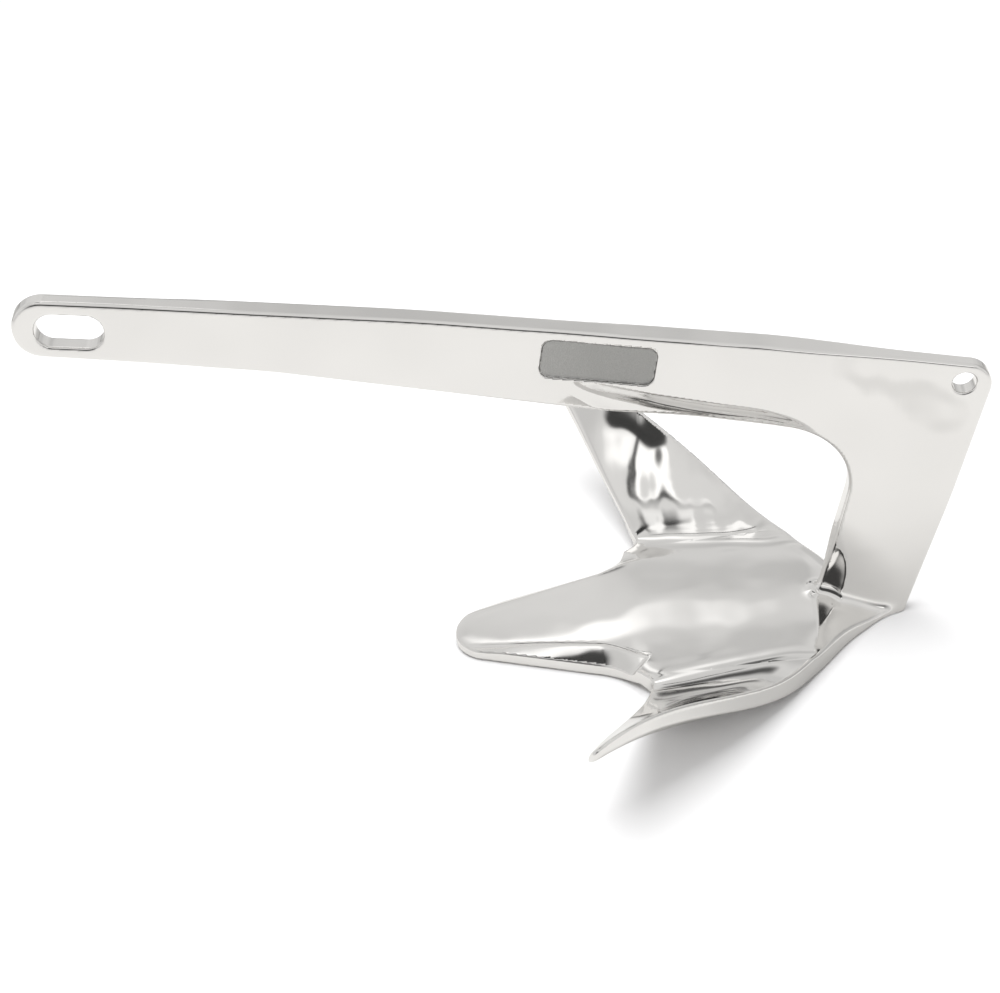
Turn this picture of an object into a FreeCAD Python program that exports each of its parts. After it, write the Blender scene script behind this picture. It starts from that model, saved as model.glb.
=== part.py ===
"""Claw anchor of about two kilograms, cast in one piece of stainless steel and polished all over.

The anchor stands as it comes to rest: on the flat underside of its centre fluke and on the foot of
its shank. +X runs from the shackle eye to the crown, Y is the symmetry direction and +Z is up. The
origin lies under the middle of the anchor, on the surface that carries it.
"""
import FreeCAD, Part
import math
import os

import Sketcher

Vector = FreeCAD.Vector
NODE = "claw_anchor"

# Driving dimensions in millimetres and degrees, grouped as the sheet lists them.
SIZES = {
    # side view of the shank: its corners, as X and Z
    "eye_end_x": -160.0,
    "eye_top_z": 157.0,
    "eye_height": 19.4,
    "eye_top_corner": 6.0,
    "eye_bottom_corner": 7.5,
    "back_bend_x": -22.0,
    "back_bend_z": 139.0,
    "back_bend_radius": 900.0,
    "crown_bend_x": 88.0,
    "crown_bend_z": 115.6,
    "crown_bend_radius": 120.0,
    "crown_corner_x": 160.2,
    "crown_corner_z": 101.6,
    "crown_corner_radius": 8.5,
    "heel_x": 131.0,
    "heel_radius": 3.0,
    "throat_foot_x": 97.8,
    "throat_corner_x": 116.2,
    "throat_corner_z": 78.2,
    "throat_radius": 25.0,
    "belly_x": 18.0,
    "belly_z": 100.9,
    "belly_radius": 400.0,
    "waist_x": -58.0,
    "waist_z": 119.6,
    "waist_radius": 260.0,
    # plan of the shank: how thick it is along its length
    "eye_thickness": 6.8,
    "arm_thickness": 8.2,
    "bend_thickness": 9.4,
    "crown_thickness": 6.2,
    "eye_flat_length": 40.0,
    "eye_taper_length": 26.0,
    "arm_flat_end_x": 22.0,
    "bend_start_x": 44.0,
    "bend_end_x": 97.0,
    "crown_flat_start_x": 126.0,
    "plan_bend_radius": 250.0,
    "shank_edge_round": 1.6,
    # shackle slot and trip line hole
    "slot_inset": 18.2,
    "slot_drop": 12.4,
    "slot_length": 22.5,
    "slot_width": 12.4,
    "slot_corner": 6.0,
    "slot_slope": -8.0,
    "trip_hole_x": 149.8,
    "trip_hole_z": 96.3,
    "trip_hole_radius": 4.0,
    "hole_edge_break": 0.7,
    # sunk panel for the weight mark, on the near side only
    "panel_x": 28.6,
    "panel_z": 116.8,
    "panel_length": 38.5,
    "panel_height": 14.6,
    "panel_corner": 3.6,
    "panel_slope": -10.6,
    "panel_depth": 0.8,
    # hollow grinding of the shank beside the throat
    "hollow_radius": 14.0,
    "arm_hollow_web": 3.6,
    "arm_hollow_start_x": 20.0,
    "foot_hollow_z": 20.0,
    "foot_hollow_web": 4.2,
    # claw: floor, flukes and their rims
    "floor_height": 11.2,
    "nose_height": 4.0,
    "nose_x": -28.6,
    "nose_start_x": 35.0,
    "nose_curve": 1.3,
    "nose_half_width": 9.4,
    "nose_radius": 12.4,
    "roll_start_x": 98.0,
    "roll_end_x": 127.0,
    "tail_height": 2.2,
    "valley_y": 36.0,
    "valley_drop": 3.0,
    "valley_blend": 4.0,
    "wing_root_height": 7.3,
    "wing_root_slope": 0.14,
    "wing_inner_slope": 0.35,
    "wing_curl": 0.0102,
    "wing_pitch": 0.08,
    "wing_twist": 0.0002,
    "wing_twist_y": 44.0,
    "wing_middle_x": 50.0,
    "wing_root_wall": 8.8,
    "wing_tip_wall": 5.0,
    "lead_wall": 3.2,
    "lead_width": 16.0,
    # plan of the claw: half outline, as X and Y
    "fluke_root_x": 27.0,
    "fluke_root_y": 27.3,
    "fluke_root_radius": 25.0,
    "notch_x": 40.0,
    "notch_y": 39.0,
    "notch_radius": 6.0,
    "wing_front_x": 35.0,
    "wing_front_y": 54.0,
    "wing_front_radius": 80.0,
    "wing_tip_x": 12.0,
    "wing_tip_y": 110.7,
    "wing_tip_radius": 2.4,
    "wing_back_x": 28.5,
    "wing_back_y": 99.4,
    "wing_back_radius": 60.0,
    "wing_side_x": 76.2,
    "wing_side_y": 59.2,
    "wing_side_radius": 300.0,
    "wing_end_x": 110.5,
    "wing_end_y": 17.5,
    "wing_end_radius": 60.0,
    "tail_x": 128.0,
    "tail_y": 2.6,
    "rim_break": 1.2,
    # bevel along both edges of the centre fluke
    "bevel_start_x": -26.0,
    "bevel_start_width": 1.0,
    "bevel_middle_x": 10.0,
    "bevel_middle_width": 5.4,
    "bevel_end_x": 37.5,
    "bevel_end_width": 7.0,
    "bevel_flare": 3.4,
    "bevel_rim_height": 4.4,
    "bevel_end_round": 4.0,
}

EPS = 0.01
os.makedirs("parts", exist_ok=True)
doc = FreeCAD.newDocument("ClawAnchor")


def make_sheet():
    """Write every driving dimension into the spreadsheet, one row each, with its name as alias."""
    sheet = doc.addObject("Spreadsheet::Sheet", "Sizes")
    for row, (name, size) in enumerate(SIZES.items(), start=1):
        sheet.set(f"A{row}", name)
        sheet.set(f"B{row}", str(size))
        sheet.setAlias(f"B{row}", name)
    doc.recompute()
    return sheet


sheet = make_sheet()


def size(name):
    """The value of one named size, read back from the sheet."""
    return float(sheet.get(name))


def sheet_value(expression):
    """The number that an expression in the sheet's names stands for."""
    return float(sheet.evalExpression(expression))


def bound(expression):
    """The same expression as another object of the document writes it."""
    words = expression.replace("(", "( ").replace(")", " )").split()
    return " ".join(f"Sizes.{word}" if word in SIZES else word for word in words)


def rounded_profile(name, corners):
    """Closed sketch of straight sides with rounded corners, every corner bound to the sheet.

    Each corner is (x, y, radius) as expressions; a radius of None keeps the corner sharp.
    """
    sketch = doc.addObject("Sketcher::SketchObject", name)
    points = [Vector(sheet_value(x), sheet_value(y), 0) for x, y, _ in corners]
    radii = [0.0 if radius is None else sheet_value(radius) for _, _, radius in corners]
    count = len(points)
    starts, ends, arcs = [], [], []
    for index, point in enumerate(points):
        before = (points[index - 1] - point).normalize()
        after = (points[(index + 1) % count] - point).normalize()
        half_angle = before.getAngle(after) / 2
        reach = radii[index] / math.tan(half_angle)
        ends.append(point + before * reach)
        starts.append(point + after * reach)
        bisector = (before + after).normalize()
        arcs.append(point + bisector * (radii[index] / math.sin(half_angle)))
    lines = []
    for index in range(count):
        side = Part.LineSegment(starts[index], ends[(index + 1) % count])
        lines.append(sketch.addGeometry(side, False))
    for index, (x, y, radius) in enumerate(corners):
        before_line, after_line = lines[index - 1], lines[index]
        if radius is None:
            sketch.addConstraint(Sketcher.Constraint("Coincident", before_line, 2, after_line, 1))
            held, spot = after_line, 1
        else:
            middle = arcs[index] + (points[index] - arcs[index]).normalize() * radii[index]
            arc = sketch.addGeometry(Part.Arc(ends[index], middle, starts[index]), False)
            turns_left = (ends[index] - arcs[index]).cross(starts[index] - arcs[index]).z > 0
            first, last = (1, 2) if turns_left else (2, 1)
            held, spot = sketch.addGeometry(Part.Point(points[index]), True), 1
            sketch.addConstraint(Sketcher.Constraint("Tangent", before_line, 2, arc, first))
            sketch.addConstraint(Sketcher.Constraint("Tangent", arc, last, after_line, 1))
            sketch.addConstraint(Sketcher.Constraint("PointOnObject", held, 1, before_line))
            sketch.addConstraint(Sketcher.Constraint("PointOnObject", held, 1, after_line))
            bind(sketch, Sketcher.Constraint("Radius", arc, radii[index]), radius)
        bind(sketch, Sketcher.Constraint("DistanceX", -1, 1, held, spot, points[index].x), x)
        bind(sketch, Sketcher.Constraint("DistanceY", -1, 1, held, spot, points[index].y), y)
    return sketch


def bind(sketch, constraint, expression):
    """Add a constraint with a size and tie that size to the sheet."""
    index = sketch.addConstraint(constraint)
    sketch.setExpression(f"Constraints[{index}]", bound(expression))


def extrusion(name, sketch, length, symmetric=True):
    """Extrude a sketch along its normal by an expression."""
    body = doc.addObject("Part::Extrusion", name)
    body.Base = sketch
    body.DirMode = "Normal"
    body.Symmetric = symmetric
    body.Solid = True
    body.setExpression("LengthFwd", bound(length))
    return body


def combine(kind, name, base, tool):
    """Cut, fuse or intersect two objects of the document."""
    result = doc.addObject(f"Part::{kind}", name)
    result.Base = base
    result.Tool = tool
    return result


SIDE_VIEW = FreeCAD.Placement(Vector(0, 0, 0), FreeCAD.Rotation(Vector(1, 0, 0), 90))
EYE_FLAT_END = "eye_end_x + eye_flat_length"
ARM_FLAT_START = "eye_end_x + eye_flat_length + eye_taper_length"
SLOT_X = "eye_end_x + slot_inset"
SLOT_Z = "eye_top_z - slot_drop"


def make_shank_blank():
    """Shank before grinding: its side view and its plan, each extruded, and what both share."""
    side = rounded_profile("ShankSide", [
        ("eye_end_x", "eye_top_z", "eye_top_corner"),
        ("back_bend_x", "back_bend_z", "back_bend_radius"),
        ("crown_bend_x", "crown_bend_z", "crown_bend_radius"),
        ("crown_corner_x", "crown_corner_z", "crown_corner_radius"),
        ("heel_x", "0", "heel_radius"),
        ("throat_foot_x", "0", None),
        ("throat_corner_x", "throat_corner_z", "throat_radius"),
        ("belly_x", "belly_z", "belly_radius"),
        ("waist_x", "waist_z", "waist_radius"),
        ("eye_end_x", "eye_top_z - eye_height", "eye_bottom_corner"),
    ])
    side.Placement = SIDE_VIEW
    side_block = extrusion("ShankSideBlock", side, "bend_thickness + 4")
    plan = rounded_profile("ShankPlan", [
        ("eye_end_x - 1", "eye_thickness / -2", None),
        (EYE_FLAT_END, "eye_thickness / -2", "plan_bend_radius"),
        (ARM_FLAT_START, "arm_thickness / -2", "plan_bend_radius"),
        ("arm_flat_end_x", "arm_thickness / -2", "plan_bend_radius"),
        ("bend_start_x", "bend_thickness / -2", "plan_bend_radius"),
        ("bend_end_x", "bend_thickness / -2", "plan_bend_radius"),
        ("crown_flat_start_x", "crown_thickness / -2", "plan_bend_radius"),
        ("crown_corner_x + 1", "crown_thickness / -2", None),
        ("crown_corner_x + 1", "crown_thickness / 2", None),
        ("crown_flat_start_x", "crown_thickness / 2", "plan_bend_radius"),
        ("bend_end_x", "bend_thickness / 2", "plan_bend_radius"),
        ("bend_start_x", "bend_thickness / 2", "plan_bend_radius"),
        ("arm_flat_end_x", "arm_thickness / 2", "plan_bend_radius"),
        (ARM_FLAT_START, "arm_thickness / 2", "plan_bend_radius"),
        (EYE_FLAT_END, "eye_thickness / 2", "plan_bend_radius"),
        ("eye_end_x - 1", "eye_thickness / 2", None),
    ])
    plan_block = extrusion("ShankPlanBlock", plan, "eye_top_z * 3")
    return combine("Common", "ShankBlank", side_block, plan_block)


def block_on_side(name, length, width, corner, x, z, slope):
    """Rounded rectangle in the side view, at its place and slope, ready to be extruded."""
    sketch = rounded_profile(name, [
        (f"{length} / -2", f"{width} / -2", corner),
        (f"{length} / 2", f"{width} / -2", corner),
        (f"{length} / 2", f"{width} / 2", corner),
        (f"{length} / -2", f"{width} / 2", corner),
    ])
    turn = FreeCAD.Rotation(Vector(0, 0, 1), size(slope))
    place = Vector(sheet_value(x), 0, sheet_value(z))
    sketch.Placement = FreeCAD.Placement(place, SIDE_VIEW.Rotation * turn)
    sketch.setExpression("Placement.Base.x", bound(x))
    sketch.setExpression("Placement.Base.z", bound(z))
    return sketch


def is_outline_edge(edge):
    """True for an edge of the side view, false where the plan bends or an edge runs across."""
    box = edge.BoundBox
    runs_across = box.YLength > max(box.XLength, box.ZLength)
    upright = box.XLength < EPS and box.YLength < EPS
    return not runs_across and not upright


def dress_edges(kind, name, base, choose):
    """Fillet or chamfer the edges for which choose(edge) gives a size."""
    doc.recompute()
    dressed = doc.addObject(f"Part::{kind}", name)
    dressed.Base = base
    chosen = []
    for number, edge in enumerate(base.Shape.Edges, start=1):
        width = choose(edge)
        if width:
            chosen.append((number, width, width))
    dressed.Edges = chosen
    return dressed


def make_shank(blank):
    """Cut the shackle slot and the trip line hole, and round every edge of the shank."""
    slot = block_on_side(
        "SlotOutline", "slot_length", "slot_width", "slot_corner", SLOT_X, SLOT_Z, "slot_slope"
    )
    slotted = combine("Cut", "SlottedShank", blank, extrusion("Slot", slot, "bend_thickness * 3"))
    hole = doc.addObject("Part::Cylinder", "TripHole")
    hole.Placement = FreeCAD.Placement(
        Vector(size("trip_hole_x"), size("bend_thickness"), size("trip_hole_z")), SIDE_VIEW.Rotation
    )
    hole.setExpression("Radius", bound("trip_hole_radius"))
    hole.setExpression("Height", bound("bend_thickness * 2"))
    hole.setExpression("Placement.Base.x", bound("trip_hole_x"))
    hole.setExpression("Placement.Base.z", bound("trip_hole_z"))
    drilled = combine("Cut", "DrilledShank", slotted, hole)

    def in_opening(edge):
        middle = edge.BoundBox.Center
        from_slot = middle - Vector(sheet_value(SLOT_X), middle.y, sheet_value(SLOT_Z))
        from_hole = middle - Vector(size("trip_hole_x"), middle.y, size("trip_hole_z"))
        in_slot = abs(from_slot.x) < size("slot_length") / 2 + EPS and (
            abs(from_slot.z) < size("slot_width") / 2 + 2.0)
        return in_slot or from_hole.Length < size("trip_hole_radius")

    broken = dress_edges("Chamfer", "BrokenOpenings", drilled, lambda edge: (
        size("hole_edge_break") if is_outline_edge(edge) and in_opening(edge) else 0.0))

    def outline_radius(edge):
        inside = edge.BoundBox.Center.y ** 2 < (size("crown_thickness") / 2 - EPS) ** 2
        rounded = is_outline_edge(edge) and not in_opening(edge) and not inside
        return size("shank_edge_round") if rounded else 0.0

    return dress_edges("Fillet", "RoundedShank", broken, outline_radius)


def half_thickness(x):
    """Half the thickness of the shank at X, as its plan has it between the bends."""
    stations = [
        ("eye_end_x", "eye_thickness"),
        (EYE_FLAT_END, "eye_thickness"),
        (ARM_FLAT_START, "arm_thickness"),
        ("arm_flat_end_x", "arm_thickness"),
        ("bend_start_x", "bend_thickness"),
        ("bend_end_x", "bend_thickness"),
        ("crown_flat_start_x", "crown_thickness"),
        ("crown_corner_x", "crown_thickness"),
    ]
    spans = list(zip(stations, stations[1:]))
    for (start, thick), (end, next_thick) in spans:
        start_x, end_x = sheet_value(start), sheet_value(end)
        if x <= end_x or (start, thick) == spans[-1][0]:
            share = (x - start_x) / (end_x - start_x)
            return (size(thick) + (size(next_thick) - size(thick)) * share) / 2


def cut_panel(shank):
    """Sink the panel that carries the weight mark into the near side."""
    outline = block_on_side(
        "PanelOutline", "panel_length", "panel_height", "panel_corner", "panel_x", "panel_z",
        "panel_slope",
    )
    floor_y = size("panel_depth") - half_thickness(size("panel_x"))
    outline.Placement.Base.y = floor_y
    block = extrusion("PanelBlock", outline, "bend_thickness", symmetric=False)
    return combine("Cut", "PanelledShank", shank, block)


def arm_hollow_path():
    """Way of the grinding wheel below the arm: X, Z and how deep it bites into the side."""
    web = (size("bend_thickness") - size("arm_hollow_web")) / 2
    wheel, start = size("hollow_radius"), size("arm_hollow_start_x")
    corner_x, corner_z = size("throat_corner_x"), size("throat_corner_z")
    rise = (size("belly_z") - corner_z) / (corner_x - size("belly_x"))

    def below_arm(x, above):
        return x, corner_z + (corner_x - x) * rise + above

    return [
        (*below_arm(start - wheel, wheel), -1.2),
        (*below_arm(start, wheel * 0.65), 0.0),
        (*below_arm(start + wheel * 1.5, wheel * 0.2), web * 0.5),
        (*below_arm(start + wheel * 3, 0.0), web),
        (*below_arm(corner_x - wheel * 2.4, 0.0), web * 0.75),
        (corner_x - wheel * 1.3, corner_z + wheel * 0.15, web * 0.18),
        (corner_x - wheel * 0.4, corner_z - wheel * 0.85, -0.4),
        (corner_x - wheel * 0.15, corner_z - wheel * 1.85, -1.4),
    ]


def foot_hollow_path():
    """Way of the grinding wheel down the front of the foot, as for the arm."""
    foot = (size("bend_thickness") - size("foot_hollow_web")) / 2
    foot_x, foot_z = size("throat_foot_x"), size("foot_hollow_z")
    wheel = size("hollow_radius")
    lean = (size("throat_corner_x") - foot_x) / size("throat_corner_z")
    return [
        (foot_x + lean * (foot_z + wheel * 2), foot_z + wheel * 2, -1.0),
        (foot_x + lean * (foot_z + wheel), foot_z + wheel, foot * 0.1),
        (foot_x + lean * foot_z, foot_z, foot),
        (foot_x, 0, foot),
    ]


def grind_hollow(name, shank, path):
    """Hollow both sides of the shank with one wheel that follows a path."""
    radius = size("hollow_radius")
    centres = [Vector(x, half_thickness(x) + radius - bite, z) for x, z, bite in path]
    way = Part.BSplineCurve()
    way.interpolate(centres)
    rim = Part.Wire(Part.Circle(centres[0], way.tangent(way.FirstParameter)[0], radius).toShape())
    wheel = Part.Wire(way.toShape()).makePipeShell([rim], True, False)
    hollow = doc.addObject("Part::Feature", f"{name}Wheel")
    hollow.Shape = Part.makeCompound([wheel, wheel.mirror(Vector(0, 0, 0), Vector(0, 1, 0))])
    return combine("Cut", name, shank, hollow)


def floor_top(x, y):
    """Height of the claw's floor: low at the nose, level inside, rolled down at the back."""
    height = size("floor_height")
    ahead = max(0.0, size("nose_start_x") - x)
    reach = size("nose_start_x") - size("nose_x")
    height -= (size("floor_height") - size("nose_height")) * (ahead / reach) ** size("nose_curve")
    behind = (x - size("roll_start_x")) / (size("roll_end_x") - size("roll_start_x"))
    behind = min(max(0.0, behind), 1.0)
    height -= (size("floor_height") - size("tail_height")) * behind ** 2 * (3 - 2 * behind)
    return height - size("valley_drop") * (y / size("valley_y")) ** 2


def wing_top(x, y):
    """Height of a wing's inner face: a slope that curls up and twists towards its tip."""
    out = abs(y) - size("valley_y")
    slope = size("wing_root_slope") if out > 0 else size("wing_inner_slope")
    height = size("wing_root_height") + slope * out
    height += size("wing_curl") * max(0.0, out) ** 2
    pitch = size("wing_pitch") + size("wing_twist") * max(0.0, abs(y) - size("wing_twist_y")) ** 2
    pitch *= min(1.0, abs(y) / size("valley_y"))
    return height + pitch * (x - size("wing_middle_x"))


def blend_up(first, second, width):
    """The higher of two heights, with a smooth valley where they cross."""
    lap = max(width - abs(first - second), 0.0)
    return max(first, second) + lap ** 2 / (4 * width)


def claw_top(x, y):
    """Height of the whole inner face of the claw."""
    return blend_up(floor_top(x, y), wing_top(x, y), size("valley_blend"))


def claw_sole(x, y):
    """Height of the wings' underside: their wall thins towards the tip and the leading edge."""
    out = max(0.0, abs(y) - size("valley_y")) / (size("wing_tip_y") - size("valley_y"))
    wall = size("wing_root_wall") + (size("wing_tip_wall") - size("wing_root_wall")) * out
    along = (abs(y) - size("wing_front_y")) / (size("wing_tip_y") - size("wing_front_y"))
    edge_x = size("wing_front_x") + (size("wing_tip_x") - size("wing_front_x")) * max(0.0, along)
    ahead = 1 - min(max(0.0, x - edge_x) / size("lead_width"), 1.0)
    return wing_top(x, y) - wall + (wall - size("lead_wall")) * ahead ** 2


def block_below(name, height):
    """Everything below a smooth surface given by its height over X and Y."""
    margin = 6.0
    first_x, last_x = size("nose_x") - margin, size("heel_x") + margin
    last_y = size("wing_tip_y") + margin
    rows, columns = 15, 25
    points = []
    for row in range(rows):
        x = first_x + (last_x - first_x) * row / (rows - 1)
        across = [-last_y + 2 * last_y * column / (columns - 1) for column in range(columns)]
        points.append([Vector(x, y, height(x, y)) for y in across])
    surface = Part.BSplineSurface()
    surface.interpolate(points)
    block = doc.addObject("Part::Feature", name)
    block.Shape = surface.toShape().extrude(Vector(0, 0, -4 * last_y))
    return block


def make_claw():
    """Claw with its three flukes: the plan outline cut out of the space between both faces."""
    half = [
        ("nose_x", "nose_half_width", "nose_radius"),
        ("fluke_root_x", "fluke_root_y", "fluke_root_radius"),
        ("notch_x", "notch_y", "notch_radius"),
        ("wing_front_x", "wing_front_y", "wing_front_radius"),
        ("wing_tip_x", "wing_tip_y", "wing_tip_radius"),
        ("wing_back_x", "wing_back_y", "wing_back_radius"),
        ("wing_side_x", "wing_side_y", "wing_side_radius"),
        ("wing_end_x", "wing_end_y", "wing_end_radius"),
        ("tail_x", "tail_y", None),
    ]
    mirrored = [(x, f"{y} * -1", radius) for x, y, radius in reversed(half)]
    outline = rounded_profile("ClawPlan", half + mirrored)
    prism = extrusion("ClawPrism", outline, "wing_tip_y", symmetric=False)
    under_top = block_below("UnderTop", claw_top)
    under_sole = block_below("UnderSole", claw_sole)
    filled = combine("Common", "ClawFilled", prism, under_top)
    return combine("Cut", "ClawBlank", filled, under_sole)


def fluke_edge(x):
    """Half width of the centre fluke at X, along the straight part of its edge."""
    share = (x - size("nose_x")) / (size("fluke_root_x") - size("nose_x"))
    return size("nose_half_width") + (size("fluke_root_y") - size("nose_half_width")) * share


def bevel_section(x, width, flare):
    """Triangle that grinds a bevel of the given width into the edge of the fluke at X."""
    rim_y = fluke_edge(x) + flare
    top = Vector(x, rim_y - width, floor_top(x, rim_y - width))
    slope = Vector(x, rim_y, size("bevel_rim_height")) - top
    above = top - slope * 0.6
    low = top + slope * 2.2
    return Part.makePolygon([above, low, Vector(x, low.y, above.z), above])


def make_bevels():
    """Wedges that grind a bevel along both edges of the centre fluke, from the nose to the notch."""
    stations = [
        ("bevel_start_x", "bevel_start_width", 0.0),
        ("bevel_middle_x", "bevel_middle_width", 0.0),
        ("bevel_end_x", "bevel_end_width", size("bevel_flare")),
    ]
    sections = [bevel_section(size(x), size(width), flare) for x, width, flare in stations]
    wedge = Part.makeLoft(sections, True, False)
    end_x = size("bevel_end_x") - EPS
    corner = [e for e in wedge.Edges if e.BoundBox.XMin > end_x and e.BoundBox.YLength > EPS and (
        e.BoundBox.ZLength > EPS)]
    wedge = wedge.makeFillet(size("bevel_end_round"), corner)
    bevels = doc.addObject("Part::Feature", "Bevels")
    bevels.Shape = Part.makeCompound([wedge, wedge.mirror(Vector(0, 0, 0), Vector(0, 1, 0))])
    return bevels


def break_rims(claw):
    """Break the upper rim of the claw all along its wings, from the notch to the tail."""
    doc.recompute()
    inner_face = max(claw.Shape.Faces, key=lambda face: face.Area)
    rims = [edge.hashCode() for edge in inner_face.Edges]

    def rim_width(edge):
        middle = edge.BoundBox.Center
        on_wing = abs(middle.y) > size("notch_y") or middle.x > size("wing_middle_x")
        across = abs(middle.y) < EPS
        return size("rim_break") if edge.hashCode() in rims and on_wing and not across else 0.0

    return dress_edges("Chamfer", "BrokenRims", claw, rim_width)


def check_document():
    """Stop before anything is written if an object failed or has no sound shape."""
    doc.recompute()
    for item in doc.Objects:
        if "Invalid" in item.State or "Error" in item.State:
            raise RuntimeError(f"{item.Label} failed: {item.State}")
        if item.isDerivedFrom("Part::Feature") and (item.Shape.isNull() or not item.Shape.isValid()):
            raise RuntimeError(f"{item.Label} has no sound shape")


shank = cut_panel(make_shank(make_shank_blank()))
shank = grind_hollow("ArmHollow", shank, arm_hollow_path())
shank = grind_hollow("FootHollow", shank, foot_hollow_path())
claw = break_rims(combine("Cut", "BevelledClaw", make_claw(), make_bevels()))
casting = combine("Fuse", "Casting", claw, shank)
casting.Label = NODE
check_document()
if len(casting.Shape.Solids) != 1:
    raise RuntimeError("the shank and the claw did not become one casting")
casting.Shape.exportStep(f"parts/{NODE}.step")
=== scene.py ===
"""Looks of a small polished claw anchor that stands on its centre fluke and heel.

The casting is worked out as one smooth field in millimetres: a flat shank with rounded edges, its
slot, hole, sunk panel and ground hollows, joined by a soft fillet to a claw of three flukes. The
surface of that field is meshed on a graded grid and dressed in mirror polished stainless steel.
"""

import logging
import math
from dataclasses import dataclass, field
from enum import Enum
from typing import Callable

import bpy
import numpy as np
from mathutils import Matrix, Vector

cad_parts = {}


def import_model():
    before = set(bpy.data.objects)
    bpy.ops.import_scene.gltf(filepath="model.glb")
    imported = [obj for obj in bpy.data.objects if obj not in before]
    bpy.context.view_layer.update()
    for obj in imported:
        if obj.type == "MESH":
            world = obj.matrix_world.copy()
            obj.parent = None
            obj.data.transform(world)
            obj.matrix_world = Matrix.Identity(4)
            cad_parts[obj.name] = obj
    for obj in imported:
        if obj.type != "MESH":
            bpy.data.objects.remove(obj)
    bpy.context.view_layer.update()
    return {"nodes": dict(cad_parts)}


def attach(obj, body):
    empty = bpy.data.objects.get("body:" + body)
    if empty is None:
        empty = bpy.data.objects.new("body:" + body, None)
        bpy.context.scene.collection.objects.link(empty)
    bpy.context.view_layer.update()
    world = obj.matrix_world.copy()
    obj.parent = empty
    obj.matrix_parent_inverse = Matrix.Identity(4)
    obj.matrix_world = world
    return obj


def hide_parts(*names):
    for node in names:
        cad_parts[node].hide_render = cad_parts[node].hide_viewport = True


log = logging.getLogger("claw_anchor")

MM = 0.001  # metres in a millimetre
FAR = 1e9  # farther than anything
TIE = 1e-6  # distances that differ by less count as equal
OUTSIDE = 9.0  # field where nothing is near
LEAST_SLOPE = 0.05  # square of the slope that a step along the field counts on at least
Array = np.ndarray
Field = Callable[[Array, Array, Array], Array]
Block = tuple[tuple[float, float, float], tuple[float, float, float]]
Colour = tuple[float, float, float]


# Ways of joining distances


def round_meet(first: Array, second: Array, radius: Array | float) -> Array:
    """Distance to what two solids share, with their common edge rounded.

    Formula: the larger distance, but within one radius of both faces the length of what both
    distances, moved in by the radius, have above zero.

    Args:
        first: Distances to the first solid, negative inside.
        second: Distances to the second solid.
        radius: Radius of the rounding.

    Returns:
        The joined distances.
    """
    corner = np.hypot(np.maximum(first + radius, 0.0), np.maximum(second + radius, 0.0))
    return np.minimum(np.maximum(first, second), -radius) + corner


def round_cut(solid: Array, tool: Array, radius: float) -> Array:
    """Distance to a solid with a tool taken out of it and a rounded edge where they cross."""
    return round_meet(solid, -tool, radius)


def soft_low(first: Array, second: Array, width: float) -> Array:
    """The lower of two values, with a smooth fillet of the given width where they cross."""
    lap = np.maximum(width - np.abs(first - second), 0.0) / width
    return np.minimum(first, second) - lap ** 3 * width / 6.0


def soft_high(first: Array, second: Array, width: float) -> Array:
    """The higher of two values, with a smooth valley of the given width where they cross."""
    return -soft_low(-first, -second, width)


def cos_sin(degrees: float) -> tuple[float, float]:
    """Cosine and sine of an angle."""
    angle = math.radians(degrees)
    return math.cos(angle), math.sin(angle)


def ease(low: float, high: float, value: Array) -> Array:
    """Smooth step from 0 at low to 1 at high."""
    share = np.clip((value - low) / (high - low), 0.0, 1.0)
    return share * share * (3.0 - 2.0 * share)


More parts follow.
